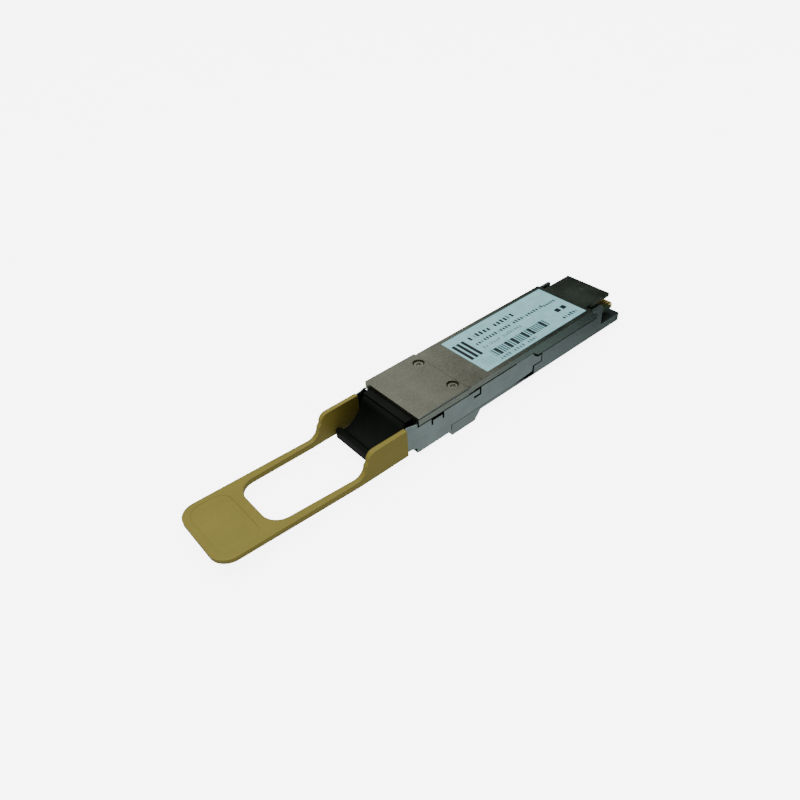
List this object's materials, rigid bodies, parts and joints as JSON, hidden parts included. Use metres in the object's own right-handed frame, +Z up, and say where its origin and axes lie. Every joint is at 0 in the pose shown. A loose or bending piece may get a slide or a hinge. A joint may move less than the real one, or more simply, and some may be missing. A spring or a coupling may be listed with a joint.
{
  "type": "optical transceiver module",
  "caption": "Pluggable optical transceiver with a two-part metal shell, edge connector, sprung release slider, looped pull tab and removable port plug.",
  "frame": {"origin": "middle of the overall length and width, on the lowest face (the belly block's underside)", "axes": "+X along the module towards the edge connector, +Y to the left, +Z up, out of the labelled cover"},
  "size_m": [0.1224, 0.0186, 0.0111],
  "materials": {
    "plated_casting": "satin nickel-plated die casting, fine grained",
    "slider_steel": "satin rolled stainless sheet",
    "screw_steel": "bright machined",
    "spring_steel": "drawn wire",
    "pin_steel": "ground and polished",
    "tab_plastic": "satin moulded beige elastomer",
    "plug_rubber": "satin black",
    "black_plastic": "satin moulded",
    "ferrule_plastic": "filled moulded plastic, polished end face",
    "ribbon_plastic": "glossy ribbon coating",
    "board_laminate": "solder mask over glass laminate",
    "contact_gold": "hard gold plating",
    "lens_plastic": "clear amber moulding",
    "chip_black": "moulded package",
    "capacitor_ceramic": "sintered ceramic",
    "gap_pad": "soft filled pad",
    "gasket_rubber": "conductive elastomer",
    "label_film": "satin printed film"
  },
  "bodies": {
    "shell": {"top_cover": "plated_casting", "bottom_housing": "plated_casting", "cover_screws": "screw_steel", "label": "label_film", "return_spring_left": "spring_steel", "return_spring_right": "spring_steel", "optical_receptacle": "black_plastic", "mt_ferrule": "ferrule_plastic", "guide_pins": "pin_steel", "pin_clamp": "slider_steel", "fibre_ribbon": "ribbon_plastic", "circuit_board": "board_laminate", "edge_contacts": "contact_gold", "lens_block": "lens_plastic", "laser_array": "chip_black", "photodiode_array": "chip_black", "laser_driver_chip": "chip_black", "receiver_chip": "chip_black", "retimer_chips": "chip_black", "controller_chip": "chip_black", "clock_crystal": "pin_steel", "capacitors": "capacitor_ceramic", "thermal_pad_top": "gap_pad", "thermal_pad_bottom": "gap_pad", "seam_gasket": "gasket_rubber"},
    "latch": {"delatch_slider": "slider_steel", "pull_tab": "tab_plastic"},
    "plug": {"dust_plug": "plug_rubber"}
  },
  "joints": [
    {"name": "latch_slide", "type": "slide", "parent": "shell", "child": "latch", "axis": [-1, 0, 0], "range_m": [0, 0.002], "stiffness_N_per_m": 2500, "springref_m": -0.001, "deforming": ["return_spring_left", "return_spring_right"]},
    {"name": "dust_plug_pull", "type": "slide", "parent": "shell", "child": "plug", "axis": [-1, 0, 0], "range_m": [0, 0.018]}
  ]
}
